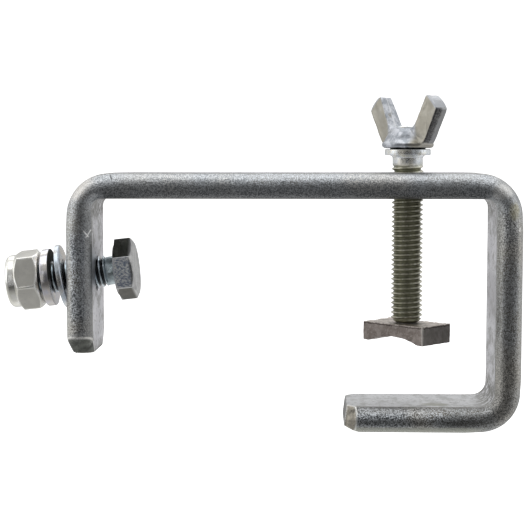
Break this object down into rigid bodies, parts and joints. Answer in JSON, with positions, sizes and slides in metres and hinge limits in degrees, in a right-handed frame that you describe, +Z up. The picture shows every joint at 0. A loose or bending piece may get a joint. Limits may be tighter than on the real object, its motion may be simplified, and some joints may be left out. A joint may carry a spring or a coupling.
{
  "type": "hook clamp",
  "caption": "Hook-shaped flat-bar clamp for hanging a lantern from a tube, with a winged clamping screw, a swivelling saddle pad and a hexagon yoke bolt with lock nut.",
  "frame": {"origin": "on the lip's seating face, where the clamping screw's axis meets it", "axes": "+Z up the clamping screw's axis and out of the lip's seating face, +X from the long leg towards the post, +Y across the bar"},
  "size_m": [0.161, 0.03, 0.1042],
  "materials": {
    "zinc_bar": "zinc plated, grainy rolled edges",
    "yellow_zinc_screw": "zinc plated, olive passivated",
    "cast_zinc_head": "zinc plated casting, satin",
    "raw_steel": "bare sawn steel, dull",
    "blue_zinc_bolt": "blue passivated zinc",
    "washer_zinc": "blue passivated zinc",
    "spring_zinc": "bright zinc",
    "nut_zinc": "bright zinc, slightly warm",
    "nylon": "moulded nylon ring"
  },
  "bodies": {
    "clamp": {"clamp_body": "zinc_bar"},
    "travel": {"pad_rivet": "raw_steel"},
    "screw": {"clamp_screw": "yellow_zinc_screw", "wing_head": "cast_zinc_head"},
    "pad": {"pressure_pad": "raw_steel"},
    "washer": {"plain_washer": "washer_zinc"},
    "bolt": {"hex_bolt": "blue_zinc_bolt"},
    "spring": {"spring_washer": "spring_zinc"},
    "nut_travel": {"nylon_insert": "nylon"},
    "nut": {"lock_nut": "nut_zinc"}
  },
  "joints": [
    {"name": "screw_travel", "type": "slide", "parent": "clamp", "child": "travel", "axis": [0, 0, 1], "range_m": [-0.0021, 0.03885]},
    {"name": "screw_turn", "type": "hinge", "parent": "travel", "child": "screw", "pos_m": [0, 0, 0.0325], "axis": [0, 0, 1], "range_deg": [-505, 9325]},
    {"name": "pad_swivel", "type": "hinge", "parent": "travel", "child": "pad", "pos_m": [0, 0, 0.0249], "axis": [0, 0, 1], "continuous": true},
    {"name": "bolt_tilt", "type": "hinge", "parent": "clamp", "child": "washer", "pos_m": [-0.1015, 0, 0.04], "axis": [0, 1, 0], "range_deg": [0, 12]},
    {"name": "bolt_slide", "type": "slide", "parent": "washer", "child": "bolt", "axis": [0.9936, 0, 0.1132], "range_m": [-0.0048, 0.001]},
    {"name": "spring_washer_slide", "type": "slide", "parent": "bolt", "child": "spring", "axis": [0.9936, 0, 0.1132], "range_m": [-0.0006, 0.0005]},
    {"name": "nut_travel", "type": "slide", "parent": "bolt", "child": "nut_travel", "axis": [0.9936, 0, 0.1132], "range_m": [-0.005, 0.0003]},
    {"name": "nut_turn", "type": "hinge", "parent": "nut_travel", "child": "nut", "pos_m": [-0.1015, 0, 0.04], "axis": [0.9936, 0, 0.1132], "range_deg": [-1202, 73]}
  ],
  "couplings": [
    {"joint": "screw_turn", "follows": "screw_travel", "rad_per_m": 4188.8},
    {"joint": "nut_turn", "follows": "nut_travel", "rad_per_m": 4188.8}
  ]
}
